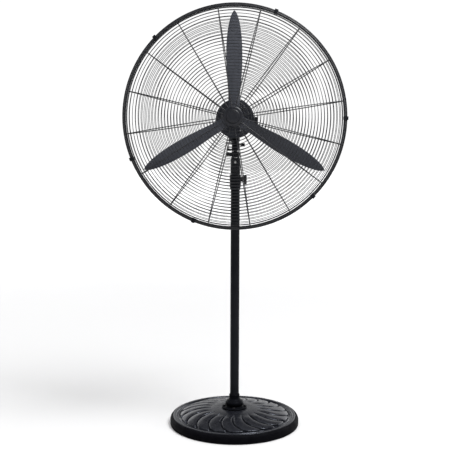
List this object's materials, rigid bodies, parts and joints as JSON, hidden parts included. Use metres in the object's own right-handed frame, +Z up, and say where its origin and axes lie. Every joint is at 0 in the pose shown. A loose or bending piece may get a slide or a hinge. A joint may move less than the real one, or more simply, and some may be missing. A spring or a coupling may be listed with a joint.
{
  "type": "pedestal fan",
  "caption": "Free-standing fan on a round domed base and telescopic pole, with a tilting, oscillating motor head and long leaf blades in a round wire guard.",
  "frame": {"origin": "on the floor at the middle of the round base", "axes": "+Z up along the pole, -Y towards the front, where the head blows, +X to the right as seen from the front (the height knob's side)"},
  "size_m": [0.782, 0.478, 1.515],
  "materials": {
    "base_skin": "satin black moulded skin, bonded over a cement weight",
    "black_paint": "satin black powder coat on steel and castings",
    "wire_paint": "satin black coated steel wire",
    "blade_paint": "dark slate satin coat on pressed sheet",
    "black_plastic": "fine-grained moulded black plastic",
    "rubber": "matt black rubber",
    "bright_steel": "zinc-plated or ground bright steel",
    "core_steel": "dull laminated or hardened steel",
    "brass": "plain turned brass",
    "nylon": "natural nylon"
  },
  "bodies": {
    "stand": {"base_plate": "base_skin", "edge_band": "rubber", "pole_flange": "black_paint", "flange_bolt_1": "bright_steel", "flange_bolt_2": "bright_steel", "flange_bolt_3": "bright_steel", "flange_bolt_4": "bright_steel", "lower_tube": "black_paint", "tube_nut": "bright_steel", "height_collar": "black_paint", "collar_bush": "nylon"},
    "height_clamp": {"height_knob": "black_plastic", "clamp_screw": "bright_steel"},
    "mast": {"inner_tube": "black_paint", "mast_guide": "nylon", "neck_socket": "black_paint", "socket_screw": "bright_steel", "tilt_bolt": "bright_steel"},
    "tilt_clamp": {"tilt_knob": "black_plastic"},
    "neck": {"neck_stem": "black_paint", "swivel_bush": "brass"},
    "swivel_wing": {"swivel_lock": "black_paint"},
    "head": {"motor_cradle": "black_paint", "swivel_pin": "bright_steel", "motor_front_cover": "black_paint", "motor_rear_cover": "black_paint", "stator": "core_steel", "front_bearing": "bright_steel", "rear_bearing": "bright_steel", "gearbox_housing": "black_paint", "capacitor_box": "black_paint", "cable_gland": "black_plastic", "speed_switch": "black_plastic", "rear_guard": "wire_paint", "front_guard": "wire_paint", "guard_plate": "black_paint", "guard_screw_1": "bright_steel", "guard_screw_2": "bright_steel", "guard_screw_3": "bright_steel", "front_badge": "black_plastic", "badge_cap": "black_plastic", "guard_clip_1": "black_paint", "guard_clip_2": "black_paint", "guard_clip_3": "black_paint", "guard_clip_4": "black_paint", "guard_clip_5": "black_paint", "guard_clip_6": "black_paint"},
    "speed_dial": {"speed_knob": "black_plastic"},
    "clutch": {"oscillation_knob": "black_plastic"},
    "gear": {"worm_wheel": "brass"},
    "crank": {"crank_disc": "bright_steel"},
    "link": {"drive_link": "bright_steel"},
    "rotor": {"motor_shaft": "bright_steel", "drive_worm": "core_steel", "rotor_core": "core_steel", "blade_hub": "black_plastic", "blade_1": "blade_paint", "blade_2": "blade_paint", "blade_3": "blade_paint", "blade_nut": "bright_steel"}
  },
  "joints": [
    {"name": "height_slide", "type": "slide", "parent": "stand", "child": "mast", "axis": [0, 0, 1], "range_m": [0, 0.3]},
    {"name": "height_clamp_turn", "type": "hinge", "parent": "stand", "child": "height_clamp", "pos_m": [0.036, 0, 0.909], "axis": [1, 0, 0], "range_deg": [0, 360]},
    {"name": "tilt", "type": "hinge", "parent": "mast", "child": "neck", "pos_m": [0, 0, 0.999], "axis": [1, 0, 0], "range_deg": [-30, 10]},
    {"name": "tilt_clamp_turn", "type": "hinge", "parent": "mast", "child": "tilt_clamp", "pos_m": [-0.0277, 0, 0.999], "axis": [1, 0, 0], "range_deg": [0, 360]},
    {"name": "swivel_wing_turn", "type": "hinge", "parent": "neck", "child": "swivel_wing", "pos_m": [0.02, 0, 1.0335], "axis": [1, 0, 0], "range_deg": [0, 360]},
    {"name": "oscillation", "type": "hinge", "parent": "neck", "child": "head", "pos_m": [0, 0, 1.043], "axis": [0, 0, 1], "range_deg": [-35, 35]},
    {"name": "crank_turn", "type": "hinge", "parent": "head", "child": "crank", "pos_m": [-0.01844, 0.102, 1.0427], "axis": [0, 0, 1], "range_deg": [-62, 62]},
    {"name": "link_swing", "type": "hinge", "parent": "neck", "child": "link", "pos_m": [-0.027, 0, 1.0222], "axis": [0, 0, 1], "range_deg": [-36, 36]},
    {"name": "speed_dial_turn", "type": "hinge", "parent": "head", "child": "speed_dial", "pos_m": [0.034, 0.091, 1.14], "axis": [0, 1, 0], "range_deg": [0, 120]},
    {"name": "clutch_slide", "type": "slide", "parent": "head", "child": "clutch", "axis": [0, 0, 1], "range_m": [0, 0.008]},
    {"name": "gear_spin", "type": "hinge", "parent": "head", "child": "gear", "pos_m": [-0.01844, 0.102, 1.125], "axis": [0, 0, 1], "continuous": true},
    {"name": "blade_spin", "type": "hinge", "parent": "head", "child": "rotor", "pos_m": [0, -0.138, 1.125], "axis": [0, 1, 0], "continuous": true}
  ],
  "couplings": [
    {"joint": "gear_spin", "follows": "blade_spin", "ratio": -0.033333},
    {"joint": "crank_turn", "follows": "oscillation", "ratio": -1.7143},
    {"joint": "link_swing", "follows": "oscillation", "ratio": 1}
  ]
}
